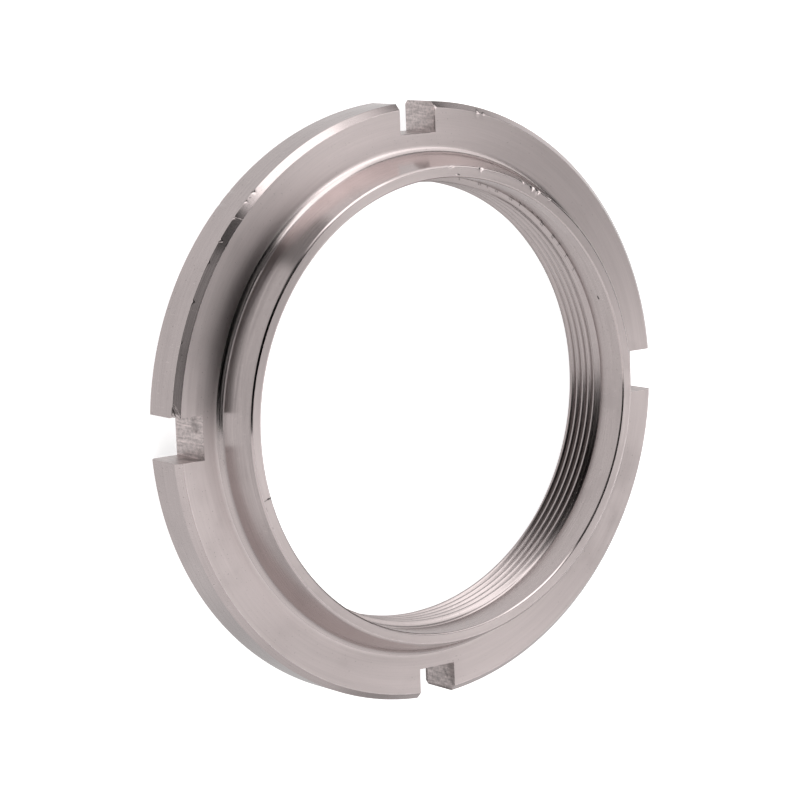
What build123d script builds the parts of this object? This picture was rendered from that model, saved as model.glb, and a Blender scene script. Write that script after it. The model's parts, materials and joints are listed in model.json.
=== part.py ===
from build123d import *

import math
import os

# A bearing lock nut, turned from one steel bar and milled with four spanner slots.
# The origin is on the bore's axis in the back face, +Z runs up through the collar,
# and the slots lie on +X, +Y, -X and -Y. All lengths are in millimetres, angles in degrees.

# Thread, metric with a fine pitch. The bore stands at the thread's crests, its minor diameter.
thread_diameter = 75.0
thread_pitch = 1.5

# Radial widths, in order from the thread outwards. Together they give a rim of 100 across.
counterbore_clearance = 0.25
collar_end_width = 1.9
collar_flare = 2.15
flange_width = 8.2

# Heights. The collar stands on the flange, and the counterbore goes in from the collar's end.
flange_thickness = 8.0
collar_height = 6.0
counterbore_depth = 5.8

# Spanner slots, milled straight through the flange with flat floors and square corners.
slot_count = 4
slot_width = 7.2
slot_depth = 5.2

# Turned edges.
front_rim_chamfer = 1.0
back_rim_chamfer = 0.6
collar_root_fillet = 1.5
collar_edge_break = 0.3
mouth_edge_break = 0.3
lead_in_angle = 30.0
back_lead_in_clearance = 0.2

# How far the slot cutter runs out past the metal.
cutter_overrun = 2.0

# The minor diameter of an internal metric thread is the nominal one less 1.0825 pitches.
MINOR_DIAMETER_DROP = 1.0825

thread_major_radius = thread_diameter / 2
thread_minor_radius = (thread_diameter - MINOR_DIAMETER_DROP * thread_pitch) / 2
counterbore_radius = thread_major_radius + counterbore_clearance
collar_end_radius = counterbore_radius + collar_end_width
collar_root_radius = collar_end_radius + collar_flare
rim_radius = collar_root_radius + flange_width

overall_height = flange_thickness + collar_height
collar_slope = collar_flare / collar_height

# The lead-in cone joins the counterbore's floor corner to the first turn of the thread.
counterbore_floor = overall_height - counterbore_depth
lead_in_height = (counterbore_radius - thread_minor_radius) * math.tan(math.radians(lead_in_angle))
lead_in_end = counterbore_floor - lead_in_height

# The back lead-in is a 45 degree countersink that clears the thread's roots.
back_lead_in = thread_major_radius + back_lead_in_clearance - thread_minor_radius

slot_floor_radius = rim_radius - slot_depth


def ring_section():
    """Half of the ring's cross-section, drawn as (radius, height), starting at the bore's back edge."""
    broken_side_radius = collar_end_radius + collar_slope * collar_edge_break
    outline = [
        (thread_minor_radius + back_lead_in, 0),
        (rim_radius - back_rim_chamfer, 0),
        (rim_radius, back_rim_chamfer),
        (rim_radius, flange_thickness - front_rim_chamfer),
        (rim_radius - front_rim_chamfer, flange_thickness),
        (collar_root_radius, flange_thickness),
        (broken_side_radius, overall_height - collar_edge_break),
        (collar_end_radius - collar_edge_break, overall_height),
        (counterbore_radius + mouth_edge_break, overall_height),
        (counterbore_radius, overall_height - mouth_edge_break),
        (counterbore_radius, counterbore_floor),
        (thread_minor_radius, lead_in_end),
        (thread_minor_radius, back_lead_in),
    ]
    with BuildSketch(Plane.XZ) as section:
        with BuildLine():
            Polyline(*outline, close=True)
        make_face()
        corners = section.vertices().sort_by_distance(
            Plane.XZ.from_local_coords(Vector(collar_root_radius, flange_thickness))
        )
        fillet(corners[0], radius=collar_root_fillet)
    return section.sketch


def slot_cutter():
    """The straight cutter's path through one slot, which lies on +X with its floor across the radius."""
    length = slot_depth + cutter_overrun
    height = flange_thickness + 2 * cutter_overrun
    path = Box(length, slot_width, height, align=(Align.MIN, Align.CENTER, Align.MIN))
    return Pos(slot_floor_radius, 0, -cutter_overrun) * path


def lock_nut():
    """The whole nut: the turned ring less its spanner slots."""
    ring = revolve(ring_section(), axis=Axis.Z)
    for index in range(slot_count):
        ring -= Rot(0, 0, index * 360 / slot_count) * slot_cutter()
    return ring


if __name__ == "__main__":
    os.makedirs("parts", exist_ok=True)
    nut = lock_nut()
    nut.label = "lock_nut"
    export_step(nut, "parts/lock_nut.step")
    print(f"rim {2 * rim_radius:.2f} across, {overall_height:.2f} high, bore {2 * thread_minor_radius:.3f}")
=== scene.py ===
"""A bearing lock nut of turned steel, lying on its back face in a plain studio."""

import json
import logging
import math
from collections.abc import Iterable, Sequence
from dataclasses import dataclass, field
from enum import Enum
from functools import cache, partialmethod

import bmesh
import bpy
import numpy as np
from mathutils import Matrix, Vector

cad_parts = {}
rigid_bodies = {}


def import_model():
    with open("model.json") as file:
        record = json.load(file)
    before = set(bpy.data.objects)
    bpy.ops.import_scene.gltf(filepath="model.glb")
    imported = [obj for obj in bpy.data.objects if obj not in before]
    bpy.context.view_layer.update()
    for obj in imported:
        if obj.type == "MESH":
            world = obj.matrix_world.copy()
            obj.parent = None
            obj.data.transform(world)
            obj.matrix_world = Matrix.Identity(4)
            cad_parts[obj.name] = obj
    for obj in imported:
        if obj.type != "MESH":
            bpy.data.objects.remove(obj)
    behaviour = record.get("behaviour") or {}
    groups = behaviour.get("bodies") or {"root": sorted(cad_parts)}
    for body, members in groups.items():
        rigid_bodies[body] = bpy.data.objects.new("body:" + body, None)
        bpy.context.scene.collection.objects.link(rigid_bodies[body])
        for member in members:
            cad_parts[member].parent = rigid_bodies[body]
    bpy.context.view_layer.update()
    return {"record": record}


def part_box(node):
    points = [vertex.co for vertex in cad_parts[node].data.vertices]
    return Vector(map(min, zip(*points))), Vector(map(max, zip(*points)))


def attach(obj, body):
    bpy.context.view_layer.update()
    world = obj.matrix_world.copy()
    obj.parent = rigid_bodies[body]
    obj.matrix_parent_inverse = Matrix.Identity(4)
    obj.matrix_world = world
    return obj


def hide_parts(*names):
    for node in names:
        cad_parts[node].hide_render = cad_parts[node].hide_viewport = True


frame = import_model()

log = logging.getLogger("lock_nut")
MM = 0.001
SLOTS = range(4)
FULL_TURN = 360.0
QUARTER = FULL_TURN / len(SLOTS)
BREAK_STEPS = 2
Vert = bmesh.types.BMVert
Node = bpy.types.Node
Socket = bpy.types.NodeSocket
NodeTree = bpy.types.NodeTree
Pair = tuple[float, float]
Triple = tuple[float, float, float]


def turned(angle: float, along: float, across: float, height: float) -> Triple:
    """The point that lies along and across a line from the axis, turned by an angle in degrees from +X."""
    cos, sin = math.cos(math.radians(angle)), math.sin(math.radians(angle))
    return along * cos - across * sin, along * sin + across * cos, height


def view_axes(azimuth: float, elevation: float, roll: float) -> tuple[Vector, Vector, Vector]:
    """The axes of something that faces the nut.

    Args:
        azimuth: Its direction from the nut, in degrees anticlockwise from +X.
        elevation: Its height above the floor, in degrees.
        roll: Its turn about its own direction, in degrees.

    Returns:
        Unit vectors to its right, up, and back from the nut to it.
    """
    azimuth, elevation, roll = (math.radians(angle) for angle in (azimuth, elevation, roll))
    flat = math.cos(elevation)
    back = Vector((flat * math.cos(azimuth), flat * math.sin(azimuth), math.sin(elevation)))
    level = Vector((0, 0, 1)).cross(back).normalized()
    right = level * math.cos(roll) + back.cross(level) * math.sin(roll)
    return right, back.cross(right), back


class Finish(Enum):
    """The finishes of the nut's surfaces. The value is the material slot on its mesh."""

    FACE = 0
    SIDE = 1
    EDGE = 2
    THREAD = 3
    SLOT = 4
    BORE = 5


@dataclass(frozen=True)
class Corner:
    """One corner of the turned section, in millimetres.

    cuts are the places of extra rows on the run that follows, as shares of its length. kept is how many of
    the rounding's steps keep the finish of the run before it.
    """

    radius: float
    height: float
    rounding: float = 0.0
    steps: int = BREAK_STEPS
    finish: Finish = Finish.FACE
    cuts: tuple[float, ...] = ()
    kept: int = 0

    def finish_at(self, step: int, earlier: Finish) -> Finish:
        """The finish that follows one step of the rounding. A mere break has an edge's finish.

        Args:
            step: Which step.
            earlier: The finish of the run before the corner.

        Returns:
            The finish.
        """
        if step == self.steps:
            return self.finish
        if step < self.kept:
            return earlier
        return Finish.SIDE if self.steps > BREAK_STEPS else Finish.EDGE


@dataclass(frozen=True)
class Row:
    """One ring of the mesh: its place in the section, its outward direction and the finish after it."""

    radius: float
    height: float
    out_radial: float
    out_axial: float
    finish: Finish


@dataclass(frozen=True)
class Chip:
    """A small piece knocked out of an edge.

    Attributes:
        angle: Place round the axis, in degrees.
        radius: Distance of the edge from the axis, in millimetres.
        height: Height of the edge, in millimetres.
        facing: Outward direction of the broken face, as its radial, round and axial parts.
        depth: How far the face lies below the edge, in millimetres.
        reach: How far from its middle the chip is felt, in millimetres.
    """

    angle: float
    radius: float
    height: float
    facing: Triple
    depth: float
    reach: float

    def cut(self, places: np.ndarray) -> np.ndarray:
        """Pushes what stands above the broken face down to it.

        Args:
            places: Points in metres, one in each row.

        Returns:
            The points, changed near the chip only.
        """
        middle = np.array(turned(self.angle, self.radius, 0.0, self.height)) * MM
        out = np.array(turned(self.angle, *self.facing))
        out /= np.linalg.norm(out)
        share = np.linalg.norm(places - middle, axis=1) / (self.reach * MM)
        above = (places - middle) @ out + self.depth * MM * (1 - share ** 2)
        move = np.where((share < 1) & (above > 0), above, 0.0)
        return places - move[:, None] * out


RIM_EDGE = (0.92, 0.0, 0.39)
BACK_EDGE = (0.92, 0.0, -0.39)
GLINT = (0.52, 0.43, 0.74)
GLINT_AHEAD = (0.62, 0.25, 0.74)
CHIPS = (
    Chip(130.6, 50, 7, RIM_EDGE, 0.06, 0.35),
    Chip(133, 50, 7, RIM_EDGE, 0.04, 0.3),
    Chip(136.8, 50, 7, RIM_EDGE, 0.05, 0.35),
    Chip(141.9, 50, 7, RIM_EDGE, 0.09, 0.4),
    Chip(146.5, 50, 7, RIM_EDGE, 0.03, 0.3),
    Chip(154.3, 50, 7, RIM_EDGE, 0.06, 0.35),
    Chip(162, 50, 7, RIM_EDGE, 0.03, 0.3),
    Chip(142.4, 49, 8, (0.39, 0, 0.92), 0.04, 0.35),
    Chip(134.3, 50, 0.6, BACK_EDGE, 0.06, 0.4),
    Chip(131.1, 50, 0.6, BACK_EDGE, 0.04, 0.35),
    Chip(175.4, 49.8, 7.2, (0.7, 0.6, 0.4), 0.12, 0.8),
    Chip(55, 39.6, 13.85, GLINT, 0.08, 0.4),
    Chip(58.8, 39.5, 13.9, GLINT, 0.10, 0.45),
    Chip(60.9, 39.45, 13.93, GLINT, 0.10, 0.4),
    Chip(64.3, 39.55, 13.88, GLINT, 0.035, 0.3),
    Chip(77.8, 39.45, 13.93, GLINT_AHEAD, 0.09, 0.4),
    Chip(87.3, 39.45, 13.95, GLINT_AHEAD, 0.08, 0.4),
    Chip(74.9, 49, 8, GLINT_AHEAD, 0.09, 0.5),
    Chip(73.4, 49, 8, GLINT_AHEAD, 0.06, 0.35),
    Chip(85.5, 49, 8, GLINT_AHEAD, 0.06, 0.35),
)
CHIP_COLUMNS = (-0.95, -0.65, -0.38, -0.13, 0.13, 0.38, 0.65, 0.95)


def section_rows(corners: list[Corner]) -> list[Row]:
    """Turns an open run of corners into mesh rows, with its inner corners rounded.

    Args:
        corners: The run, in order. The first and last corners are sharp.

    Returns:
        The rows in order, with unit normals that point out of the steel.
    """
    points = [Vector((corner.radius, corner.height)) for corner in corners]
    along = [(b - a).normalized() for a, b in zip(points, points[1:])]
    outs = [Vector((way.y, -way.x)) for way in along]
    rows = [Row(*points[0], *outs[0], corners[0].finish)]
    previous_end = points[0]
    for index in range(1, len(corners)):
        earlier, corner, here = corners[index - 1], corners[index], points[index]
        out_before, out_after = outs[index - 1], outs[min(index, len(outs) - 1)]
        turn = math.acos(max(-1.0, min(1.0, out_before.dot(out_after))))
        back = corner.rounding * math.tan(turn / 2)
        run_end = here - along[index - 1] * back
        for cut in earlier.cuts:
            rows.append(Row(*previous_end.lerp(run_end, cut), *out_before, earlier.finish))
        if back == 0.0:
            rows.append(Row(*here, *(out_before + out_after).normalized(), corner.finish))
            previous_end = here
            continue
        reach = math.copysign(corner.rounding, out_before.cross(out_after))
        centre = run_end - out_before * reach
        for step in range(corner.steps + 1):
            out = out_before.slerp(out_after, step / corner.steps)
            rows.append(Row(*(centre + out * reach), *out, corner.finish_at(step, earlier.finish)))
        previous_end = centre + out_after * reach
    return rows


class MeshSheet:
    """Collects vertices and faces of one mesh, each face with its finish."""

    sharp_angle = math.radians(14)

    def __init__(self) -> None:
        """Starts an empty mesh."""
        self.bm = bmesh.new()

    def point(self, place: Sequence[float]) -> Vert:
        """Adds a vertex, given in millimetres."""
        return self.bm.verts.new(Vector(place) * MM)

    def polygon(self, ring: list[Vert], finish: Finish, smooth: bool = True) -> None:
        """Adds one face.

        Args:
            ring: Its vertices, in order.
            finish: Its finish.
            smooth: Whether it is shaded smooth.
        """
        face = self.bm.faces.new(ring)
        face.material_index = finish.value
        face.smooth = smooth

    def grid(self, rows: Sequence[list[Vert]], finish: Finish, flip: bool = False) -> None:
        """Adds the faces between rows of equal length.

        Args:
            rows: The rows of vertices, in order.
            finish: The finish of every face.
            flip: Turns the faces over.
        """
        for low, high in zip(rows, rows[1:]):
            for index in range(len(low) - 1):
                ring = [low[index], low[index + 1], high[index + 1], high[index]]
                self.polygon(ring[::-1] if flip else ring, finish)

    def finish(self, name: str, merge: float) -> bpy.types.Mesh:
        """Joins what meets, turns the faces outwards and returns the mesh.

        Args:
            name: The mesh's name.
            merge: How close vertices are joined, in metres.

        Returns:
            The mesh.
        """
        bmesh.ops.remove_doubles(self.bm, verts=self.bm.verts, dist=merge)
        bmesh.ops.dissolve_degenerate(self.bm, edges=self.bm.edges, dist=merge / 2)
        bmesh.ops.recalc_face_normals(self.bm, faces=self.bm.faces)
        for edge in self.bm.edges:
            threaded = all(face.material_index == Finish.THREAD.value for face in edge.link_faces)
            edge.smooth = threaded or edge.calc_face_angle(0.0) < self.sharp_angle
        mesh = bpy.data.meshes.new(name)
        self.bm.to_mesh(mesh)
        self.bm.free()
        return mesh


@dataclass
class SpannerSlots:
    """The four slots that a hook spanner turns the nut by, in millimetres.

    half is half the width between the side walls, and floor is the flat floor's distance from the axis.
    """

    half: float = 3.6
    floor: float = 44.8
    flange: float = 8.0
    edge_round: float = 0.04
    columns: int = 8
    floor_rows: int = 6

    @property
    def mouth_half(self) -> float:
        """Half the width of the mouth, edge rounding included."""
        return self.half + self.edge_round

    @property
    def root_radius(self) -> float:
        """Radius of the mouth's inner corners, where the slots begin."""
        return math.hypot(self.floor - self.edge_round, self.mouth_half)

    def edge_angle(self, radius: float) -> float:
        """Half the angle that the mouth takes at a radius, in degrees."""
        return math.degrees(math.asin(self.mouth_half / max(radius, self.root_radius)))

    def mouth(self, slot: int, share: float, height: float) -> Triple:
        """A point on the straight inner edge of a mouth, share running from -1 to 1."""
        return turned(slot * QUARTER, self.floor - self.edge_round, self.mouth_half * share, height)

    def levels(self) -> list[Pair]:
        """The rounded edge as (distance out of the slot, depth below the surface) pairs."""
        turns = (0.0, math.pi / 4, math.pi / 2)
        return [(self.edge_round * (1 - math.sin(t)), self.edge_round * (1 - math.cos(t))) for t in turns]

    def flat_heights(self) -> list[float]:
        """Heights of the rows between the floor's rounded edges, from the front one back.

        Returns:
            The heights, in millimetres.
        """
        span = self.flange - 2 * self.edge_round
        steps = range(1, self.floor_rows)
        return [self.flange - self.edge_round - span * step / self.floor_rows for step in steps]

    def build_floor(self, sheet: MeshSheet, slot: int) -> None:
        """Makes the flat floor of one slot with its rounded front and back edges.

        Args:
            sheet: The mesh under construction.
            slot: Which slot.
        """
        rows = [(out, self.flange - depth) for out, depth in self.levels()]
        rows += [(0.0, height) for height in self.flat_heights()] + self.levels()[::-1]
        grid = []
        for out, height in rows:
            half = self.half + out
            across = [half * step / self.columns for step in range(-self.columns, self.columns + 1)]
            grid.append([sheet.point(turned(slot * QUARTER, self.floor - out, a, height)) for a in across])
        sheet.grid(grid, Finish.SLOT)

    def build_wall(self, sheet: MeshSheet, slot: int, side: int, rows: list[Row]) -> None:
        """Makes one side wall and its rounded edge.

        Args:
            sheet: The mesh under construction.
            slot: Which slot.
            side: 1 for the wall at its left end, -1 for the other.
            rows: The outer rows of the turned section, from the back face round to the front face.
        """
        loops = []
        for out, depth in self.levels():
            across = self.half + out
            loop = []
            for row in rows:
                along = math.sqrt((row.radius - depth * row.out_radial) ** 2 - across ** 2)
                if row in (rows[0], rows[-1]):
                    along = self.floor - out
                height = row.height - depth * row.out_axial
                loop.append(sheet.point(turned(slot * QUARTER, along, side * across, height)))
            loops.append(loop)
        sheet.grid(loops, Finish.SLOT, flip=side < 0)
        foot = (slot * QUARTER, self.floor, side * self.half)
        ring = loops[-1] + [sheet.point(turned(*foot, height)) for height in self.flat_heights()]
        sheet.polygon(ring if side > 0 else ring[::-1], Finish.SLOT, smooth=False)


@dataclass
class BoreThread:
    """The right-hand internal thread with its two lead-in cones, in millimetres.

    flank_row is where the middle row of a flank lies, as a share of the pitch.
    """

    minor_radius: float
    bore_radius: float
    top: float
    nominal_radius: float = 37.5
    pitch: float = 1.5
    lead_in_angle: float = 30.0
    back_radius: float = 37.7
    crest_height: float = 7.5
    crest_angle: float = -5.0
    bottom: float = 0.05
    crest_edge: float = 0.035
    root_edge: float = 0.03
    flank_row: float = 0.28

    @property
    def stations(self) -> list[Pair]:
        """One pitch of the profile as (height from the crest's middle, radius) pairs, crest first.

        Returns:
            The pairs, in millimetres.
        """
        crest = self.pitch / 8
        root = self.pitch / 2 - self.pitch / 16
        slope = (self.nominal_radius - self.minor_radius) / (root - crest)
        flank = [crest + self.crest_edge, self.pitch * self.flank_row, root - self.root_edge]
        rising = [(crest - self.crest_edge, self.minor_radius)]
        rising += [(height, self.minor_radius + (height - crest) * slope) for height in flank]
        rising.append((root + self.root_edge, self.nominal_radius))
        return rising + [(self.pitch - height, radius) for height, radius in reversed(rising)]

    def wall(self, height: float) -> float:
        """The least radius that the two lead-in cones leave at a height."""
        slope = 1 / math.tan(math.radians(self.lead_in_angle))
        return max(self.bore_radius - (self.top - height) * slope, self.back_radius - height)

    def build(self, sheet: MeshSheet, angles: list[float]) -> None:
        """Makes the threaded wall on the given columns.

        Args:
            sheet: The mesh under construction.
            angles: The columns' angles in degrees, with the first one repeated a turn later.
        """
        turns = math.ceil((self.top - self.bottom) / self.pitch) + 2
        rows = []
        for turn in range(-turns, 3):
            start = self.crest_height + turn * self.pitch
            rows += [self.row(sheet, angles, start + height, radius) for height, radius in self.stations]
        for low, high in zip(rows, rows[1:]):
            for index in range(len(angles) - 1):
                ring = [low[index], high[index], high[index + 1], low[index + 1]]
                if len({round(vert.co.z / MM, 4) for vert in ring}) > 1:
                    sheet.polygon(ring, Finish.THREAD)

    def row(self, sheet: MeshSheet, angles: list[float], start: float, radius: float) -> list[Vert]:
        """One line of the helix, held between the top and the bottom of the wall.

        Args:
            sheet: The mesh under construction.
            angles: The columns' angles, in degrees.
            start: Its height at the crest's angle.
            radius: Its radius away from the lead-in cones.

        Returns:
            Its vertices, in order.
        """
        line = []
        for angle in angles:
            height = start + self.pitch * (angle - self.crest_angle) / FULL_TURN
            height = min(self.top, max(self.bottom, height))
            reach = self.wall(height)
            if self.bottom < height < self.top:
                reach = max(radius, reach)
            line.append(sheet.point(turned(angle, reach, 0.0, height)))
        return line


@dataclass
class LockNut:
    """The whole nut: its turned section, its slots and its thread, in millimetres.

    end_rounds are the roundings of the end face's outer and inner breaks, and least_gap is the smallest gap
    between an even column and a chip's, as a share of an even gap.
    """

    rim_radius: float
    overall_height: float
    minor_radius: float
    bore_radius: float
    flange: float = 8.0
    collar_root: float = 41.8
    collar_end: float = 39.65
    root_fillet: float = 1.5
    front_chamfer: float = 1.0
    back_chamfer: float = 0.6
    edge_break: float = 0.2
    end_rounds: Pair = (0.16, 0.12)
    counterbore_depth: float = 5.8
    soft_edge: float = 0.02
    sector_columns: int = 124
    least_gap: float = 0.25
    merge: float = 0.002
    chips: tuple[Chip, ...] = CHIPS
    slots: SpannerSlots = field(default_factory=SpannerSlots)

    @classmethod
    def from_frame(cls, record: dict) -> "LockNut":
        """Reads the nut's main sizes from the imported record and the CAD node's box.

        Args:
            record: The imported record.

        Returns:
            A nut of those sizes.
        """
        mounts = {mount["name"]: mount for mount in record["mounts"]}
        low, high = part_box("lock_nut")
        reach = (high.x - low.x) / 2 / MM
        return cls(
            rim_radius=math.hypot(reach, SpannerSlots.half),
            overall_height=high.z / MM,
            minor_radius=mounts["thread"]["dims"]["r_mm"],
            bore_radius=mounts["counterbore"]["dims"]["r_mm"],
        )

    def outer_corners(self) -> list[Corner]:
        """The run that the slots cut, from the back face round the rim to the front face.

        Returns:
            Its corners, in order.
        """
        rim, top, soft, root = self.rim_radius, self.flange, self.soft_edge, self.slots.root_radius
        side_cuts = (0.01, 0.35, 0.65, 0.88, 0.95, 0.99)
        return [
            Corner(root, 0, cuts=(0.35, 0.7, 0.985)),
            Corner(rim - self.back_chamfer, 0, soft, finish=Finish.EDGE, cuts=(0.04, 0.5, 0.96)),
            Corner(rim, self.back_chamfer, soft, finish=Finish.SIDE, cuts=side_cuts),
            Corner(rim, top - self.front_chamfer, soft, finish=Finish.EDGE, cuts=(0.03, 0.2, 0.5, 0.8, 0.97)),
            Corner(rim - self.front_chamfer, top, soft, cuts=(0.015, 0.06, 0.3, 0.65)),
            Corner(root, top),
        ]

    def inner_corners(self) -> list[Corner]:
        """The run from the front face over the collar down to the counterbore's floor.

        Returns:
            Its corners, in order.
        """
        top, broken, bore = self.overall_height, self.edge_break, self.bore_radius
        slope = (self.collar_root - self.collar_end) / (top - self.flange)
        outer, inner = self.end_rounds
        return [
            Corner(self.slots.root_radius, self.flange, cuts=(0.5, 0.96)),
            Corner(self.collar_root, self.flange, self.root_fillet, steps=8, finish=Finish.SIDE,
                   cuts=(0.02, 0.33, 0.66, 0.94), kept=2),
            Corner(self.collar_end + slope * broken, top - broken, outer, finish=Finish.EDGE, cuts=(0.5,)),
            Corner(self.collar_end - broken, top, outer, cuts=(0.1, 0.5, 0.9)),
            Corner(bore + broken, top, inner, finish=Finish.EDGE, cuts=(0.5,)),
            Corner(bore, top - broken, inner, finish=Finish.BORE, cuts=(0.05, 0.35, 0.7)),
            Corner(bore, top - self.counterbore_depth, finish=Finish.THREAD),
        ]

    def back_corners(self, thread: BoreThread) -> list[Corner]:
        """The run from the foot of the back lead-in out to the slots on the back face.

        Args:
            thread: The thread that ends there.

        Returns:
            Its corners, in order.
        """
        return [
            Corner(thread.wall(thread.bottom), thread.bottom, finish=Finish.EDGE),
            Corner(thread.back_radius, 0, self.soft_edge, cuts=(0.3, 0.65)),
            Corner(self.slots.root_radius, 0),
        ]

    def sector_steps(self, sector: int) -> list[float]:
        """The columns between one slot and the next, closer together where an edge is chipped.

        Args:
            sector: Which quarter of the ring.

        Returns:
            The columns' places as shares of the way from the one slot to the other.
        """
        close = []
        for chip in self.chips:
            edge = self.slots.edge_angle(chip.radius)
            for offset in CHIP_COLUMNS:
                angle = chip.angle + math.degrees(offset * chip.reach / chip.radius)
                close.append((angle - sector * QUARTER - edge) / (QUARTER - 2 * edge))
        least = self.least_gap / self.sector_columns
        steps = sorted(share for share in close if least < share < 1 - least)
        kept = [share for share, following in zip(steps, steps[1:] + [2.0]) if following - share > least / 2]
        even = [column / self.sector_columns for column in range(self.sector_columns + 1)]
        return sorted(kept + [share for share in even if all(abs(share - other) > least for other in kept)])

    def sector_angles(self, sector: int, shares: list[float], radius: float) -> list[float]:
        """The angles of one sector's columns at a radius, in degrees."""
        edge = self.slots.edge_angle(radius)
        return [sector * QUARTER + edge + (QUARTER - 2 * edge) * share for share in shares]

    def ring_row(self, sheet: MeshSheet, row: Row, steps: list[list[float]]) -> list[list[Vert]]:
        """Makes the vertices of one outer row, without the columns that the slots take.

        Args:
            sheet: The mesh under construction.
            row: Its place in the section.
            steps: The columns of each sector.

        Returns:
            The vertices of each sector, in order.
        """
        ring = []
        for sector, shares in enumerate(steps):
            angles = self.sector_angles(sector, shares, row.radius)
            ring.append([sheet.point(turned(angle, row.radius, 0.0, row.height)) for angle in angles])
        return ring

    def column_angles(self, steps: list[list[float]]) -> list[float]:
        """The angles of the whole rings' columns in degrees, with the first one repeated a turn later.

        Args:
            steps: The columns of each sector.

        Returns:
            The angles, in order.
        """
        edge = self.slots.edge_angle(self.slots.root_radius)
        mouth = [edge * column / self.slots.columns for column in range(self.slots.columns)]
        angles = []
        for sector, shares in enumerate(steps):
            slot = sector * QUARTER
            angles += [slot + offset for offset in mouth]
            angles += self.sector_angles(sector, shares[:-1], self.slots.root_radius)
            angles += [slot + QUARTER - edge + offset for offset in mouth]
        return angles + [FULL_TURN]

    def whole_row(self, sheet: MeshSheet, row: Row, angles: list[float]) -> list[Vert]:
        """Makes one closed ring. On the slots' root radius it follows the straight edges of the mouths.

        Args:
            sheet: The mesh under construction.
            row: Its place in the section.
            angles: The columns' angles, in degrees.

        Returns:
            Its vertices, in order.
        """
        line = []
        edge = self.slots.edge_angle(self.slots.root_radius)
        at_root = abs(row.radius - self.slots.root_radius) < self.merge
        for angle in angles:
            slot = round(angle / QUARTER)
            offset = angle - slot * QUARTER
            place = turned(angle, row.radius, 0.0, row.height)
            if at_root and abs(offset) < edge:
                place = self.slots.mouth(slot, offset / edge, row.height)
            line.append(sheet.point(place))
        return line

    def build(self) -> bpy.types.Object:
        """Makes the nut's mesh as one closed piece.

        Returns:
            The object, without materials.
        """
        sheet = MeshSheet()
        outer = section_rows(self.outer_corners())
        steps = [self.sector_steps(sector) for sector in SLOTS]
        rings = [self.ring_row(sheet, row, steps) for row in outer]
        for low, high, row in zip(rings, rings[1:], outer):
            for lines in zip(low, high):
                sheet.grid(lines, row.finish)
        for slot in SLOTS:
            self.slots.build_floor(sheet, slot)
            for side in (1, -1):
                self.slots.build_wall(sheet, slot, side, outer)
        thread = BoreThread(self.minor_radius, self.bore_radius, self.overall_height - self.counterbore_depth)
        angles = self.column_angles(steps)
        for corners in (self.inner_corners(), self.back_corners(thread)):
            rows = section_rows(corners)
            lines = [self.whole_row(sheet, row, angles) for row in rows]
            for low, high, row in zip(lines, lines[1:], rows):
                sheet.grid([low, high], row.finish)
        thread.build(sheet, angles)
        mesh = sheet.finish("lock_nut_body", self.merge * MM)
        self.knock(mesh)
        body = bpy.data.objects.new("lock_nut_body", mesh)
        bpy.context.scene.collection.objects.link(body)
        weighted = body.modifiers.new("face_weighted_normals", "WEIGHTED_NORMAL")
        weighted.mode = "FACE_AREA"
        weighted.keep_sharp = True
        return body

    def knock(self, mesh: bpy.types.Mesh) -> None:
        """Knocks the chips out of the mesh's edges.

        Args:
            mesh: The finished mesh.
        """
        places = np.empty(len(mesh.vertices) * 3)
        mesh.vertices.foreach_get("co", places)
        places = places.reshape(-1, 3)
        for chip in self.chips:
            places = chip.cut(places)
        mesh.vertices.foreach_set("co", places.ravel())
        mesh.update()


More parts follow.
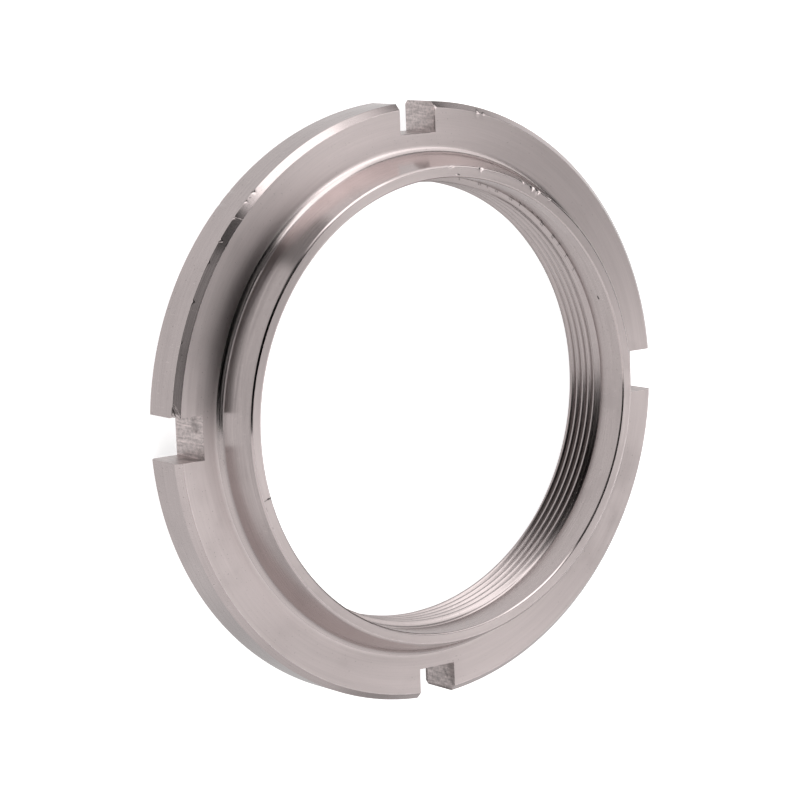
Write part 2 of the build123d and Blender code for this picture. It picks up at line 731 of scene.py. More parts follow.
class NodeSheet:
    """Adds and joins the nodes of one node tree."""

    def __init__(self, tree: NodeTree) -> None:
        """Takes the tree and empties it."""
        self.tree = tree
        self.tree.nodes.clear()

    def add(self, kind: str, **settings: object) -> Node:
        """Adds a node and sets its properties.

        Args:
            kind: The node's type.
            settings: The properties to set.

        Returns:
            The node.
        """
        node = self.tree.nodes.new(kind)
        for name, value in settings.items():
            setattr(node, name, value)
        return node

    def put(self, socket: Socket, value: object) -> None:
        """Links a socket's source, or sets its value.

        Args:
            socket: The input.
            value: A socket to link, or a value to set.
        """
        if isinstance(value, Socket):
            self.tree.links.new(value, socket)
        else:
            socket.default_value = value

    def feed(self, node: Node, *values: object, **inputs: object) -> Node:
        """Sets or links a node's inputs.

        Args:
            node: The node to feed.
            values: A socket to link, or a value to set, for each of its first inputs.
            inputs: The same by the input's name, with spaces written as underscores.

        Returns:
            The same node.
        """
        for socket, value in zip(node.inputs, values):
            self.put(socket, value)
        for name, value in inputs.items():
            self.put(node.inputs[name.replace("_", " ")], value)
        return node

    def math(self, operation: str, *values: object, clamp: bool = False) -> Socket:
        """A sum, product or other operation on numbers."""
        return self.feed(self.add("ShaderNodeMath", operation=operation, use_clamp=clamp), *values).outputs[0]

    plus = partialmethod(math, "ADD")
    minus = partialmethod(math, "SUBTRACT")
    times = partialmethod(math, "MULTIPLY")
    over = partialmethod(math, "DIVIDE")
    scale_add = partialmethod(math, "MULTIPLY_ADD")
    most = partialmethod(math, "MAXIMUM")

    def vector(self, operation: str, *values: object, **inputs: object) -> Socket:
        """An operation on vectors, with a vector as its result."""
        node = self.add("ShaderNodeVectorMath", operation=operation)
        return self.feed(node, *values, **inputs).outputs["Vector"]

    def measure(self, operation: str, *values: object) -> Socket:
        """An operation on vectors, with a number as its result."""
        node = self.add("ShaderNodeVectorMath", operation=operation)
        return self.feed(node, *values).outputs["Value"]

    def ramp(self, value: Socket, low: object, high: object,
             at_low: float = 0.0, at_high: float = 1.0) -> Socket:
        """A smooth change of level from at_low, where value is low, to at_high, where it is high."""
        node = self.add("ShaderNodeMapRange", interpolation_type="SMOOTHSTEP")
        return self.feed(node, value, low, high, at_low, at_high).outputs["Result"]

    def noise(self, place: object, detail: float, roughness: float = 0.55) -> Socket:
        """Random cloudiness with features about as large as one unit of the place."""
        node = self.add("ShaderNodeTexNoise")
        return self.feed(node, Vector=place, Scale=1.0, Detail=detail, Roughness=roughness).outputs[0]

    def split(self, vector: Socket) -> tuple[Socket, ...]:
        """The three parts of a vector."""
        return tuple(self.feed(self.add("ShaderNodeSeparateXYZ"), vector).outputs)

    def join(self, x: object, y: object, z: object) -> Socket:
        """A vector of three parts."""
        return self.feed(self.add("ShaderNodeCombineXYZ"), x, y, z).outputs[0]

    def group(self, tree: NodeTree, *values: object) -> tuple[Socket, ...]:
        """Places a node group with values for its inputs in order, and returns its outputs."""
        return tuple(self.feed(self.add("ShaderNodeGroup", node_tree=tree), *values).outputs)


class GroupSheet(NodeSheet):
    """A node group under construction. Its sockets carry numbers, apart from those named in vectors."""

    vectors = {"Place", "Outward", "Start", "End", "Direction", "Back", "Right", "Up", "Middle"}

    def __init__(self, name: str, takes: Iterable[str], gives: Iterable[str]) -> None:
        """Starts the group.

        Args:
            name: The group's name.
            takes: Its inputs, in order.
            gives: Its outputs, in order.
        """
        super().__init__(bpy.data.node_groups.new(name, "ShaderNodeTree"))
        for direction, sockets in (("INPUT", takes), ("OUTPUT", gives)):
            for socket in sockets:
                kind = "NodeSocketVector" if socket in self.vectors else "NodeSocketFloat"
                self.tree.interface.new_socket(socket, in_out=direction, socket_type=kind)
        self.inputs = tuple(self.add("NodeGroupInput").outputs)[:-1]
        self.outer = self.add("NodeGroupOutput")

    def give(self, *outputs: Socket) -> NodeTree:
        """Links the group's outputs in order and returns it finished."""
        self.feed(self.outer, *outputs)
        return self.tree


@cache
def ring_place() -> NodeTree:
    """Place on the nut in millimetres: the point, its outward direction, its radius and its height.

    Returns:
        The node group.
    """
    sheet = GroupSheet("ring_place", (), ("Place", "Outward", "Radius", "Height"))
    place = sheet.vector("SCALE", sheet.add("ShaderNodeTexCoord").outputs["Object"], Scale=1 / MM)
    x, y, z = sheet.split(place)
    flat = sheet.join(x, y, 0.0)
    return sheet.give(place, sheet.vector("NORMALIZE", flat), sheet.measure("LENGTH", flat), z)


@cache
def turning_marks() -> NodeTree:
    """The lathe tool's marks round the axis, from 0 to 1: lines, broad bands and the finest hairs.

    Returns:
        The node group.
    """
    takes = ("Across", "Outward", "Spacing", "Run", "Seed")
    sheet = GroupSheet("turning_marks", takes, ("Lines", "Bands", "Hairs"))
    distance, outward, spacing, run, seed = sheet.inputs
    found = []
    for coarse, length, detail in ((1.0, 1.0, 3.0), (6.0, 0.6, 2.0), (0.3, 1.0, 1.0)):
        across = sheet.plus(sheet.over(distance, sheet.times(spacing, coarse)), seed)
        round_axis = sheet.vector("SCALE", outward, Scale=sheet.times(run, length))
        place = sheet.vector("ADD", round_axis, sheet.join(0.0, 0.0, across))
        found.append(sheet.noise(place, detail, 0.65))
    return sheet.give(*found)


@cache
def milling_marks() -> NodeTree:
    """The milling cutter's marks along the axis, and the mottle of a face that was torn a little.

    Returns:
        The node group.
    """
    sheet = GroupSheet("milling_marks", ("Place", "Spacing", "Seed"), ("Lines", "Mottle"))
    place, spacing, seed = sheet.inputs
    x, y, z = sheet.split(place)
    along = sheet.join(sheet.plus(sheet.over(x, spacing), seed), sheet.over(y, spacing), sheet.over(z, 4.0))
    mottle = sheet.vector("SCALE", sheet.vector("ADD", place, sheet.join(seed, 0.0, 0.0)), Scale=1.7)
    return sheet.give(sheet.noise(along, 2.0, 0.6), sheet.noise(mottle, 4.0, 0.7))


@cache
def handling_marks() -> NodeTree:
    """What handling leaves: soft smudges, small specks and short scratches, as masks.

    Returns:
        The node group.
    """
    sheet = GroupSheet("handling_marks", ("Place", "Grain", "Seed"), ("Smudge", "Speck", "Scratch"))
    place, grain, seed = sheet.inputs
    place = sheet.vector("ADD", place, sheet.join(seed, seed, 0.0))
    fine = sheet.vector("SCALE", place, Scale=sheet.over(1.0, grain))
    clouds = sheet.noise(sheet.vector("SCALE", place, Scale=0.11), 4.0, 0.6)
    speck = sheet.ramp(sheet.noise(fine, 1.0), 0.70, 0.76)
    speck = sheet.times(speck, sheet.ramp(clouds, 0.40, 0.55, 0.2, 1.0))
    scratches = []
    for angle in (25.0, 140.0):
        turn = sheet.add("ShaderNodeVectorRotate", rotation_type="Z_AXIS")
        thin = sheet.feed(turn, Vector=place, Angle=math.radians(angle)).outputs[0]
        thin = sheet.vector("MULTIPLY", thin, (0.16, 4.5, 0.6))
        scratches.append(sheet.ramp(sheet.noise(thin, 1.0), 0.71, 0.76))
    return sheet.give(sheet.ramp(clouds, 0.46, 0.72), speck, sheet.most(*scratches))


@cache
def edge_wear() -> NodeTree:
    """Bright, uneven wear beside an edge, from the distance to it in millimetres.

    Returns:
        The node group.
    """
    sheet = GroupSheet("edge_wear", ("Distance", "Width", "Place"), ("Mask",))
    distance, width, place = sheet.inputs
    uneven = sheet.noise(sheet.vector("SCALE", place, Scale=0.8), 3.0)
    width = sheet.times(width, sheet.ramp(uneven, 0.3, 0.75, 0.1, 1.6))
    near = sheet.over(sheet.math("ABSOLUTE", distance), width)
    return sheet.give(sheet.ramp(near, 0.4, 1.0, 1.0, 0.0))


@cache
def stroke_mask() -> NodeTree:
    """The mask of one scratch or spot, drawn from Start to End, all in millimetres.

    Returns:
        The node group.
    """
    sheet = GroupSheet("stroke", ("Place", "Start", "End", "Width"), ("Mask",))
    place, start, end, width = sheet.inputs
    run, reach = sheet.vector("SUBTRACT", end, start), sheet.vector("SUBTRACT", place, start)
    whole = sheet.measure("DOT_PRODUCT", run, run)
    share = sheet.math("DIVIDE", sheet.measure("DOT_PRODUCT", reach, run), whole, clamp=True)
    gap = sheet.measure("DISTANCE", reach, sheet.vector("SCALE", run, Scale=share))
    ragged = sheet.noise(sheet.vector("SCALE", place, Scale=6.0), 2.0)
    gap = sheet.over(gap, sheet.times(width, sheet.ramp(ragged, 0.3, 0.7, 0.6, 1.3)))
    return sheet.give(sheet.ramp(gap, 0.35, 1.0, 1.0, 0.0))


class SteelSheet(NodeSheet):
    """The node tree of one finish, with the place on the nut."""

    def __init__(self, tree: NodeTree) -> None:
        """Empties the tree and adds the place."""
        super().__init__(tree)
        self.place, self.outward, self.radius, self.height = self.group(ring_place())


@dataclass(frozen=True)
class Stroke:
    """A scratch, spot or burr on the steel, or a small patch of painted glint or painted shade, in
    millimetres and degrees.

    Attributes:
        start: Angle, radius and height of its start.
        end: The same for its end.
        width: Half its width.
        light: How strongly it shows, over 0 where it is lighter, as bare steel and as painted glints, and
            under 0 where it is darker, as marks and as painted shade.
    """

    start: Triple
    end: Triple
    width: float
    light: float = -1.0

    def mask(self, sheet: SteelSheet) -> Socket:
        """Adds the stroke to a finish and returns its mask."""
        ends = [turned(angle, radius, 0.0, height) for angle, radius, height in (self.start, self.end)]
        return sheet.times(*sheet.group(stroke_mask(), sheet.place, *ends, self.width), abs(self.light))


def strokes(*rows: tuple[float, ...]) -> tuple[Stroke, ...]:
    """Strokes from plain rows: the angle, radius and height of both ends, half the width, and light."""
    return tuple(Stroke(row[:3], row[3:6], *row[6:]) for row in rows)


# Between which levels of noise the finest hairs and the milled marks take effect.
HAIR_SPAN = (0.38, 0.62)
MILLED_SPAN = (0.33, 0.67)
# What smudges and strokes add to the roughness.
SMUDGE_ROUGHNESS = 0.03
STROKE_ROUGHNESS = 0.35
# How much deeper scratches and dark strokes are than the fine lines.
SCRATCH_DEPTH = 0.6
STROKE_DEPTH = 3.0


@dataclass(frozen=True)
class Steel:
    """A turned steel finish.

    Attributes:
        name: The material's name.
        roughness: The least and the greatest roughness of its marks.
        anisotropy: How much rougher it is across the marks.
        colour: Its colour between the marks.
        seed: Sets its pattern apart from that of the others.
        across: Shares of radius and height in the coordinate across the marks.
        spacing: Width of the finest marks, in millimetres.
        run: How fast the marks change round the axis.
        lines: How much the fine lines change the colour.
        bands: How much the broad bands change it.
        relief: Depth of the fine lines, in millimetres.
        smudges: How much smudges darken it.
        specks: How much specks darken it.
        grain: Size of the specks, in millimetres.
        scratches: How much scratches lighten it.
        wear: How much worn edges are lighter.
        wear_width: How far from its edge the wear reaches, in millimetres.
        worn_radii: The worn edges' radii, in millimetres.
        worn_heights: The worn edges' heights, in millimetres.
        strokes: Its own scratches, spots and burrs, with its painted glints and painted shade.
        stroke_tones: How much dark strokes darken it and bright ones lighten it.
    """

    name: str
    roughness: Pair
    anisotropy: float
    colour: Triple
    seed: float
    across: Pair = (1.0, 0.0)
    spacing: float = 0.22
    run: float = 3.0
    lines: float = 0.2
    bands: float = 0.16
    relief: float = 0.0006
    smudges: float = 0.05
    specks: float = 0.3
    grain: float = 0.35
    scratches: float = 0.1
    wear: float = 0.14
    wear_width: float = 0.16
    worn_radii: tuple[float, ...] = ()
    worn_heights: tuple[float, ...] = ()
    strokes: tuple[Stroke, ...] = ()
    stroke_tones: Pair = (-0.8, 0.75)

    def pattern(self, sheet: SteelSheet) -> tuple[Socket, ...]:
        """The tool's marks, as lines, broad bands and the finest hairs."""
        across = sheet.scale_add(sheet.height, self.across[1], sheet.times(sheet.radius, self.across[0]))
        return sheet.group(turning_marks(), across, sheet.outward, self.spacing, self.run, self.seed)

    def worn(self, sheet: SteelSheet) -> object:
        """The mask of all its worn edges.

        Args:
            sheet: The finish's node tree.

        Returns:
            The mask, or 0 where it has none.
        """
        mask: object = 0.0
        gaps = [sheet.minus(sheet.radius, radius) for radius in self.worn_radii]
        gaps += [sheet.minus(sheet.height, height) for height in self.worn_heights]
        for gap in gaps:
            mask = sheet.most(mask, *sheet.group(edge_wear(), gap, self.wear_width, sheet.place))
        return mask

    def drawn(self, sheet: SteelSheet, sign: int) -> object:
        """The mask of all its dark or all its bright strokes.

        Args:
            sheet: The finish's node tree.
            sign: -1 for the dark ones, 1 for the bright ones.

        Returns:
            The mask, or 0 where it has none.
        """
        mask: object = 0.0
        for stroke in self.strokes:
            if stroke.light * sign > 0:
                mask = sheet.most(mask, stroke.mask(sheet))
        return mask

    def material(self) -> bpy.types.Material:
        """Makes the finish's material.

        Returns:
            The material.
        """
        material = bpy.data.materials.new(self.name)
        material.use_nodes = True
        sheet = SteelSheet(material.node_tree)
        lines, bands, hairs = self.pattern(sheet)
        smudge, speck, scratch = sheet.group(handling_marks(), sheet.place, self.grain, self.seed)
        dark, bright = self.drawn(sheet, -1), self.drawn(sheet, 1)
        darken, lighten = self.stroke_tones
        tone = sheet.scale_add(sheet.minus(lines, 0.5), self.lines, 1.0)
        tone = sheet.scale_add(sheet.minus(bands, 0.5), self.bands, tone)
        tone = sheet.scale_add(smudge, -self.smudges, tone)
        tone = sheet.scale_add(speck, -self.specks, tone)
        tone = sheet.scale_add(scratch, self.scratches, tone)
        tone = sheet.scale_add(self.worn(sheet), self.wear, tone)
        tone = sheet.times(tone, sheet.scale_add(dark, darken, 1.0))
        tone = sheet.scale_add(bright, lighten, tone)
        rough = sheet.ramp(hairs, *HAIR_SPAN, *self.roughness)
        rough = sheet.scale_add(smudge, SMUDGE_ROUGHNESS, rough)
        rough = sheet.scale_add(sheet.most(bright, dark), STROKE_ROUGHNESS, rough, clamp=True)
        height = sheet.scale_add(dark, -STROKE_DEPTH, sheet.scale_add(scratch, -SCRATCH_DEPTH, lines))
        bump = sheet.feed(sheet.add("ShaderNodeBump"), Height=height, Distance=self.relief * MM)
        tangent = sheet.add("ShaderNodeTangent", direction_type="RADIAL", axis="Z")
        shader = sheet.feed(
            sheet.add("ShaderNodeBsdfPrincipled"), Metallic=1.0, Roughness=rough, Normal=bump.outputs[0],
            Base_Color=sheet.vector("SCALE", self.colour, Scale=tone), Tangent=tangent.outputs[0],
            Anisotropic=self.anisotropy, Anisotropic_Rotation=0.25)
        sheet.feed(sheet.add("ShaderNodeOutputMaterial"), Surface=shader.outputs[0])
        return material


@dataclass(frozen=True)
class MilledSteel(Steel):
    """A milled steel finish, with marks along the axis and a mottle."""

    def pattern(self, sheet: SteelSheet) -> tuple[Socket, ...]:
        """The cutter's marks and the mottle, which also changes the gloss."""
        lines, mottle = sheet.group(milling_marks(), sheet.place, self.spacing, self.seed)
        return sheet.ramp(lines, *MILLED_SPAN), sheet.ramp(mottle, *MILLED_SPAN), mottle


FACE_STROKES = strokes(
    (195.5, 39.15, 14, 195.35, 38.5, 14, 0.11, -0.6), (195.35, 38.5, 14, 195.3, 37.95, 14, 0.2),
    (197.1, 39.3, 14, 198, 39.25, 14, 0.08, -0.4), (202.2, 39.4, 14, 202.5, 39.38, 14, 0.14, -0.5),
    (84.6, 38.2, 14, 85.1, 38.3, 14, 0.13), (85.4, 38.15, 14, 85.7, 38.2, 14, 0.10, 1),
    # The two bright marks at 54 to 57 degrees on the flange's outer border are painted glints.
    (56.5, 49.2, 8, 55.8, 49.1, 8, 0.09, 1), (54.5, 49.2, 8, 53.9, 49.15, 8, 0.10, 1),
    (16.7, 43, 8, 16.4, 43.1, 8, 0.10, 1),
)
SIDE_STROKES = strokes(
    # The dark line at 173.9 to 175.2 degrees, just under the rim's edge at the torn corner, is painted shadow
    # under its burr.
    (173.9, 50, 6.95, 175.2, 50, 6.9, 0.2), (130.6, 50, 6.85, 130.9, 50, 6.7, 0.12),
    (141.9, 50, 6.95, 142.2, 50, 6.85, 0.09), (78, 40, 13.2, 78.4, 40, 13.1, 0.08),
)
EDGE_STROKES = strokes(
    (136.8, 50, 7, 136.4, 49, 8, 0.06, 1), (173.2, 49.85, 7.15, 175.3, 49.1, 7.9, 0.14, 0.7),
    (174.3, 49.9, 7.1, 175.6, 49.6, 7.4, 0.16), (142.3, 49.9, 7.1, 142, 49.6, 7.4, 0.08, 1),
    (130.6, 49.95, 7.05, 130.5, 49.8, 7.2, 0.1), (195.3, 37.95, 14, 195.3, 37.8, 13.85, 0.18),
    # The bright marks from 86.6 down to 54.4 degrees, on the collar's outer break, are painted glints on its
    # chips.
    (87.4, 39.4, 13.95, 87.1, 39.4, 13.95, 0.1), (86.6, 39.4, 13.95, 86.2, 39.4, 13.95, 0.12, 1),
    (78.1, 39.45, 13.93, 77.7, 39.45, 13.93, 0.14, 1), (64.4, 39.55, 13.86, 64.1, 39.55, 13.86, 0.1, 1),
    (61, 39.5, 13.9, 60.7, 39.5, 13.9, 0.16, 1), (58.8, 39.45, 13.93, 58.6, 39.45, 13.93, 0.13, 1),
    (54.7, 39.6, 13.82, 54.4, 39.6, 13.82, 0.12, 1),
)
SLOT_STROKES = strokes(
    (177.2, 44.8, 5.4, 178.6, 44.8, 5.8, 1.2, -0.22), (178.9, 44.8, 5.9, 179, 44.8, 6.1, 0.35, -0.45),
    # The bright line at 184.45 degrees, along the edge of the left slot's floor, is a painted highlight.
    (184, 44.8, 6, 184.1, 44.8, 2.5, 0.5, -0.2), (184.45, 44.8, 7.8, 184.45, 44.8, 0.3, 0.22, 0.6),
    (178, 44.8, 0.5, 178.1, 44.8, 4.5, 0.2, 0.5), (181.6, 44.8, 0.5, 181.5, 44.8, 7, 0.2, 0.5),
    # The dark band from 184.6 to 184.3 degrees down the left slot's lower wall is a painted reflection of the
    # slot's floor.
    (184.6, 45.2, 7.6, 184.3, 46.6, 4.5, 1.5, -0.33), (85.5, 45.4, 7.9, 85.7, 47.4, 7.95, 0.5, -0.4),
    # The bright mark at 85.8 degrees, at the wall's corner by the flange, is a painted glint.
    (85.5, 45.7, 4.6, 85.5, 45.8, 7.2, 0.3, -0.12), (85.8, 48.9, 7.7, 85.8, 48.8, 7.9, 0.25, 1),
    (87, 44.8, 7.8, 94.5, 44.8, 7.6, 0.55, -0.6), (274.6, 45.6, 7, 274.2, 48.2, 7.6, 1.3, -0.3),
    (274.5, 46.6, 5.2, 274.3, 47.6, 6, 0.5, -0.25), (274.5, 45.8, 3.6, 274.5, 46, 5.4, 0.6, -0.15),
    # The two dark lines along the back and outer edges of the bottom slot's wall, at 274.6 to 274.15 degrees,
    # are painted shade.
    (274.6, 44.9, 0.25, 274.15, 49.5, 0.25, 0.4, -0.6), (274.15, 49.9, 0.6, 274.15, 49.9, 6.9, 0.35, -0.5),
)
# Angles of the marks at the counterbore's foot.
TICKS = (77.6, 71.2, 70.6, 68.2, 65.2, 64.6, 60.1, 59.4, 56.4, 47.6, 47.0, 42.5, 42.0, 39.4, 35.4, 30.9)
WALL_TICKS = TICKS[6:15]
DASHES = (77.0, 75.6, 74.1, 70.7, 69.6, 57.3, 55.6, 52.3, 50.1, 48.6)
BURRS = (332.1, 330.2, 328.3, 326.1, 325.0, 323.2, 322.0, 320.4, 316.0, 313.1)
BORE_STROKES = strokes(
    *((a + 0.2, 37.75, 8.4, a - 0.4, 37.75, 8.3, 0.24) for a in WALL_TICKS),
    *((a + 0.4, 37.75, 8.9, a - 0.4, 37.75, 8.75, 0.22) for a in DASHES),
    (22, 37.75, 11.4, 22.5, 37.75, 11.3, 0.26),
    (54.6, 37.75, 9.4, 46, 37.75, 9.1, 0.05, -0.5), (53, 37.75, 9, 45, 37.75, 8.8, 0.05, -0.5),
)
THREAD_STROKES = strokes(
    *((a, 37.7, 8.17, a - 0.3, 37.45, 8.03, 0.08) for a in TICKS),
    *((a, 37.4, 8, a - 0.15, 37.3, 7.95, 0.07, 1) for a in BURRS),
)
FINISHES = {
    Finish.FACE: Steel(
        "turned_face", (0.285, 0.345), 0.86, (0.618, 0.543, 0.535), 1.3, lines=0.17, bands=0.18,
        scratches=0.03, worn_radii=(49.0, 39.45), strokes=FACE_STROKES),
    Finish.SIDE: Steel(
        "turned_side", (0.14, 0.24), 0.64, (0.497, 0.437, 0.43), 7.7, (0.35, 1.0), lines=0.22, bands=0.14,
        relief=0.0008, worn_heights=(7.0, 13.7, 0.6), strokes=SIDE_STROKES),
    Finish.EDGE: Steel(
        "turned_edge", (0.11, 0.18), 0.4, (0.539, 0.473, 0.466), 3.1, (0.7, -0.7), spacing=0.15, lines=0.18,
        bands=0.1, relief=0.0005, strokes=EDGE_STROKES),
    Finish.THREAD: Steel(
        "cut_thread", (0.2, 0.32), 0.5, (0.464, 0.408, 0.402), 5.9, (0.5, 1.0), spacing=0.12, lines=0.16,
        bands=0.12, relief=0.0005, strokes=THREAD_STROKES),
    Finish.SLOT: MilledSteel(
        "milled_slot", (0.3, 0.45), 0.0, (0.562, 0.494, 0.486), 11.0, spacing=0.4, lines=0.32, bands=0.45,
        relief=0.004, specks=0.5, strokes=SLOT_STROKES),
    Finish.BORE: Steel(
        "turned_bore", (0.26, 0.38), 0.5, (0.545, 0.479, 0.472), 9.1, (0.35, 1.0), lines=0.14, bands=0.12,
        specks=0.4, strokes=BORE_STROKES),
}


@dataclass(frozen=True)
class Panel:
    """A rectangular soft light in the surroundings.

    Attributes:
        azimuth: Its direction from the nut, in degrees anticlockwise from +X.
        elevation: Its height above the floor, in degrees.
        roll: Its turn about its own direction, in degrees.
        half: Half its width and height, as tangents seen from the nut.
        soft: Half the width of its soft edge, as a tangent.
        level: Its brightness, where a white renders as 1.
    """

    azimuth: float
    elevation: float
    roll: float
    half: Pair
    soft: float
    level: float


@cache
def soft_panel() -> NodeTree:
    """Where a rectangular panel is seen, as a mask with soft edges.

    Returns:
        The node group.
    """
    takes = ("Direction", "Back", "Right", "Up", "Width", "Height", "Soft")
    sheet = GroupSheet("soft_panel", takes, ("Mask",))
    direction, back, right, up, width, height, soft = sheet.inputs
    ahead = sheet.measure("DOT_PRODUCT", direction, back)
    mask = sheet.math("GREATER_THAN", ahead, 0.02)
    ahead = sheet.most(ahead, 0.001)
    for axis, size in ((right, width), (up, height)):
        off = sheet.measure("DOT_PRODUCT", direction, axis)
        off = sheet.over(sheet.math("ABSOLUTE", off), ahead)
        edge = sheet.ramp(off, sheet.minus(size, soft), sheet.plus(size, soft), 1.0, 0.0)
        mask = sheet.times(mask, edge)
    return sheet.give(mask)


@cache
def sector_mask() -> NodeTree:
    """Whether a direction lies in one sector round the nut, as a mask between two cosines.

    Returns:
        The node group.
    """
    sheet = GroupSheet("sector", ("Direction", "Middle", "Outer", "Inner"), ("Mask",))
    direction, middle, outer, inner = sheet.inputs
    flat = sheet.vector("NORMALIZE", sheet.vector("MULTIPLY", direction, (1.0, 1.0, 0.0)))
    return sheet.give(sheet.ramp(sheet.measure("DOT_PRODUCT", flat, middle), outer, inner))


class SkySheet(NodeSheet):
    """A node tree that works on the direction from the nut."""

    def __init__(self, tree: NodeTree, output: str) -> None:
        """Empties the tree and takes the direction from one of the texture coordinates."""
        super().__init__(tree)
        self.direction = self.add("ShaderNodeTexCoord").outputs[output]

    def in_sector(self, sector: Triple) -> Socket:
        """The mask of one sector.

        Args:
            sector: Its middle and the half angles of its edge, in degrees.

        Returns:
            The mask.
        """
        middle, inner, outer = sector
        cosines = (math.cos(math.radians(angle)) for angle in (outer, inner))
        return self.group(sector_mask(), self.direction, turned(middle, 1.0, 0.0, 0.0), *cosines)[0]

    def below(self, z: Socket, fade: Pair) -> Socket:
        """A mask that is 1 under the fade's first elevation and 0 over its last."""
        return self.ramp(z, *(math.sin(math.radians(angle)) for angle in fade), 1.0, 0.0)

    def in_panel(self, panel: Panel) -> Socket:
        """The light of one panel.

        Args:
            panel: The panel.

        Returns:
            Its light in each direction.
        """
        right, up, back = view_axes(panel.azimuth, panel.elevation, panel.roll)
        mask = self.group(soft_panel(), self.direction, back, right, up, *panel.half, panel.soft)
        return self.times(*mask, panel.level)

    def kept_out(self, light: Socket, mask: Socket) -> Socket:
        """The light where the mask is 0, and nothing where it is 1."""
        return self.times(light, self.minus(1.0, mask))


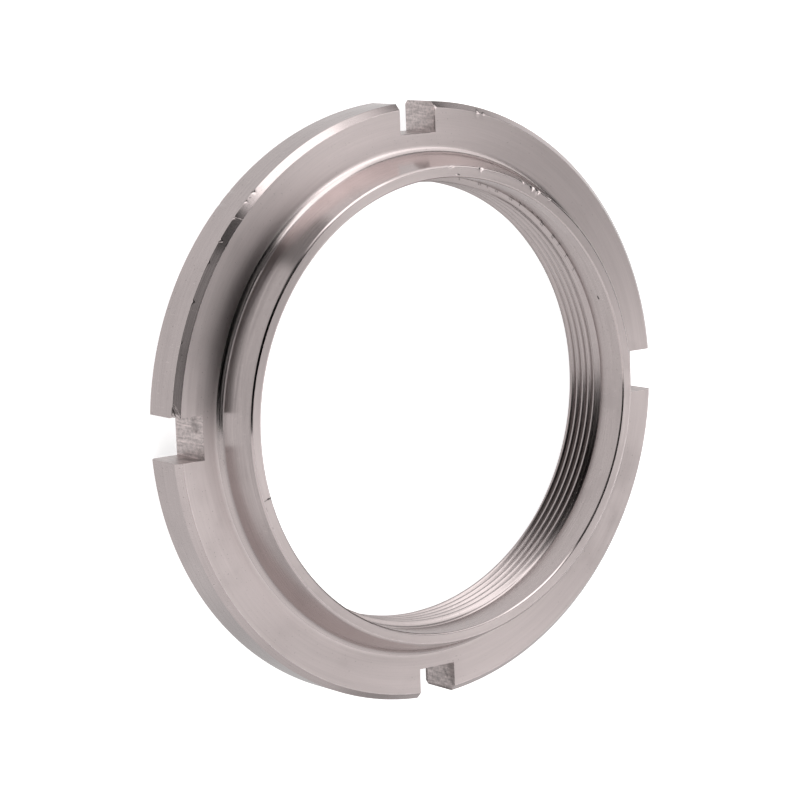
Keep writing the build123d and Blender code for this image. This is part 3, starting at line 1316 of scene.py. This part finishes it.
@dataclass(frozen=True)
class Studio:
    """The white floor, the soft panels and the surroundings that the steel reflects.

    Levels are those of a white that renders as 1, lengths are in metres and angles in degrees. A sector is
    its middle and the half angles inside which it is whole and outside which it is nothing. A fade is its
    first and last place.
    """

    floor_size: float = 6.0
    floor_drop: float = 0.00005
    floor_colour: float = 0.9
    floor_glow: float = 0.78
    # Painted levels of the floor's glow in the steel, under the nut, near, middle and far, and where each
    # changes.
    floor_levels: tuple[float, float, float, float] = (0.86, 0.97, 0.55, 0.64)
    floor_fades: tuple[Pair, Pair, Pair] = ((0.055, 0.065), (0.075, 0.11), (0.14, 0.17))
    table: float = 1.009
    table_fade: Pair = (-0.133, -0.126)
    table_tilt: float = -0.012
    table_low: float = 0.249
    table_low_fade: Pair = (5.0, 36.0)
    side_sector: Triple = (170.0, 40.0, 52.0)
    side_low: float = 1.2
    side_low_fade: Pair = (2.6, 5.6)
    side_band: float = 0.448
    side_band_middle: float = 0.5255
    side_band_fade: Pair = (0.007, 0.093)
    screen_sector: Triple = (121.4, 4.4, 7.4)
    screen_fade: Pair = (51.1, 57.1)
    screen: float = 0.109
    # Painted shade on the floor's glow in the steel, on the screen's side and on the far side, with their
    # sectors and fade.
    floor_screen_shade: float = 0.31
    floor_screen_shade_sector: Triple = (121.4, 5.9, 11.9)
    floor_back_shade: float = 0.72
    floor_back_shade_sector: Triple = (275.0, 48.0, 68.0)
    floor_back_shade_fade: Pair = (0.042, 0.05)
    low_sector: Triple = (30.0, 33.8, 53.8)
    low_fade: Pair = (4.0, 12.0)
    keys: tuple[Panel, Panel] = (
        Panel(64.2, 19.6, -37.5, (0.857, 0.658), 0.06, 1.37),
        Panel(93.6, 21.5, 22.6, (0.326, 0.479), 0.06, 1.02),
    )
    top: Panel = Panel(42.0, 51.5, 0.0, (0.335, 0.245), 0.12, 1.14)
    fill: Panel = Panel(345.4, 38.6, 0.0, (0.10, 0.174), 0.08, 0.98)

    def painted_floor_pool(self, sheet: SkySheet) -> Socket:
        """The floor's glow as the steel reflects it, from the place on it: painted shade near the nut, on the
        far side and on the screen's side, and a painted falloff further out.

        Args:
            sheet: The floor's node tree.

        Returns:
            The level.
        """
        length = sheet.measure("LENGTH", sheet.direction)
        under, near, middle, far = self.floor_levels
        first, second, third = self.floor_fades
        pool = sheet.ramp(length, *first, under, near)
        pool = sheet.plus(pool, sheet.ramp(length, *second, 0.0, middle - near))
        pool = sheet.plus(pool, sheet.ramp(length, *third, 0.0, far - middle))
        back = sheet.times(sheet.in_sector(self.floor_back_shade_sector), sheet.ramp(length, *self.floor_back_shade_fade))
        pool = sheet.times(pool, sheet.scale_add(back, self.floor_back_shade - 1.0, 1.0))
        shade = sheet.times(sheet.in_sector(self.floor_screen_shade_sector), sheet.ramp(length, *first))
        return sheet.scale_add(shade, self.floor_screen_shade, sheet.kept_out(pool, shade))

    def floor(self) -> None:
        """Makes the floor, white to the camera with the nut's soft shadow, and in the steel a glow with
        painted light and shade.
        """
        bm = bmesh.new()
        bmesh.ops.create_grid(bm, x_segments=2, y_segments=2, size=self.floor_size / 2)
        mesh = bpy.data.meshes.new("studio_floor")
        bm.to_mesh(mesh)
        bm.free()
        floor = bpy.data.objects.new("studio_floor", mesh)
        floor.location.z = -self.floor_drop
        bpy.context.scene.collection.objects.link(floor)
        material = bpy.data.materials.new("studio_white")
        material.use_nodes = True
        sheet = SkySheet(material.node_tree, "Object")
        diffuse = sheet.feed(sheet.add("ShaderNodeBsdfDiffuse"), Color=(self.floor_colour,) * 3 + (1,))
        rays = sheet.add("ShaderNodeLightPath").outputs
        camera = sheet.times(rays["Is Camera Ray"], self.floor_glow)
        glossy = sheet.times(rays["Is Glossy Ray"], self.painted_floor_pool(sheet))
        glow = sheet.feed(sheet.add("ShaderNodeEmission"), Strength=sheet.plus(camera, glossy)).outputs[0]
        both = sheet.feed(sheet.add("ShaderNodeAddShader"), diffuse.outputs[0], glow).outputs[0]
        plain = sheet.feed(sheet.add("ShaderNodeMixShader"), rays["Is Glossy Ray"], both, glow)
        sheet.feed(sheet.add("ShaderNodeOutputMaterial"), Surface=plain.outputs[0])
        mesh.materials.append(material)

    def world(self) -> None:
        """Sets the surroundings: a white side, a dark room with its panels, and white behind the floor."""
        world = bpy.data.worlds.new("studio")
        bpy.context.scene.world = world
        world.use_nodes = True
        sheet = SkySheet(world.node_tree, "Generated")
        x, y, z = sheet.split(sheet.direction)
        beside = sheet.math("ABSOLUTE", sheet.minus(z, self.side_band_middle))
        side = sheet.ramp(beside, *self.side_band_fade, self.side_band, 0.0)
        side = sheet.scale_add(sheet.below(z, self.side_low_fade), self.side_low, side)
        room = sheet.times(side, sheet.in_sector(self.side_sector))
        low = sheet.times(sheet.in_sector(self.low_sector), sheet.below(z, self.low_fade))
        key = sheet.kept_out(sheet.plus(*(sheet.in_panel(panel) for panel in self.keys)), low)
        room = sheet.plus(sheet.plus(room, key), sheet.in_panel(self.top))
        screen = sheet.times(sheet.in_sector(self.screen_sector), sheet.below(z, self.screen_fade))
        room = sheet.scale_add(screen, self.screen, sheet.kept_out(room, screen))
        table = sheet.scale_add(sheet.below(z, self.table_low_fade), -self.table_low, 1.0)
        table = sheet.times(table, self.table)
        edge = sheet.scale_add(x, self.table_tilt, y)
        mix = sheet.feed(sheet.add("ShaderNodeMix", data_type="FLOAT"), sheet.ramp(edge, *self.table_fade))
        sheet.put(mix.inputs[2], table)
        sheet.put(mix.inputs[3], room)
        level = sheet.plus(mix.outputs[0], sheet.in_panel(self.fill))
        level = sheet.most(level, sheet.add("ShaderNodeLightPath").outputs["Is Camera Ray"])
        background = sheet.feed(sheet.add("ShaderNodeBackground"), Color=(1, 1, 1, 1), Strength=level)
        sheet.feed(sheet.add("ShaderNodeOutputWorld"), Surface=background.outputs[0])

    def build(self) -> None:
        """Sets up the whole studio."""
        self.floor()
        self.world()


@dataclass(frozen=True)
class PhotoCamera:
    """The camera that sees the nut as the photograph does: lengths in millimetres, angles in degrees."""

    focal_length: float = 143.92
    distance: float = 537.94
    azimuth: float = 165.413
    elevation: float = 52.176
    roll: float = 99.495
    target: Triple = (0.110, -0.279, 0.203)
    clip_start: float = 10.0

    def build(self) -> None:
        """Creates the camera and makes it the scene's own."""
        right, up, back = view_axes(self.azimuth, self.elevation, self.roll)
        data = bpy.data.cameras.new("photo_camera")
        data.lens = self.focal_length
        data.clip_start = self.clip_start * MM
        camera = bpy.data.objects.new("photo_camera", data)
        place = (Vector(self.target) + back * self.distance) * MM
        turn = Matrix((right, up, back)).transposed()
        camera.matrix_world = Matrix.Translation(place) @ turn.to_4x4()
        bpy.context.scene.collection.objects.link(camera)
        bpy.context.scene.camera = camera
        log.info("photo_camera: right %s up %s back %s", right[:], up[:], back[:])


def main() -> None:
    """Builds the camera, the studio and the nut, and reports each piece."""
    logging.basicConfig(level=logging.INFO, format="%(name)s: %(message)s")
    bpy.context.scene.view_settings.view_transform = "Standard"
    PhotoCamera().build()
    Studio().build()
    body = LockNut.from_frame(frame["record"]).build()
    for finish in Finish:
        body.data.materials.append(FINISHES[finish].material())
    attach(body, "root")
    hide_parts("lock_nut")
    triangles = sum(len(face.vertices) - 2 for face in body.data.polygons)
    log.info("lock_nut_body: %d vertices, %d triangles", len(body.data.vertices), triangles)


if __name__ == "__main__":
    main()
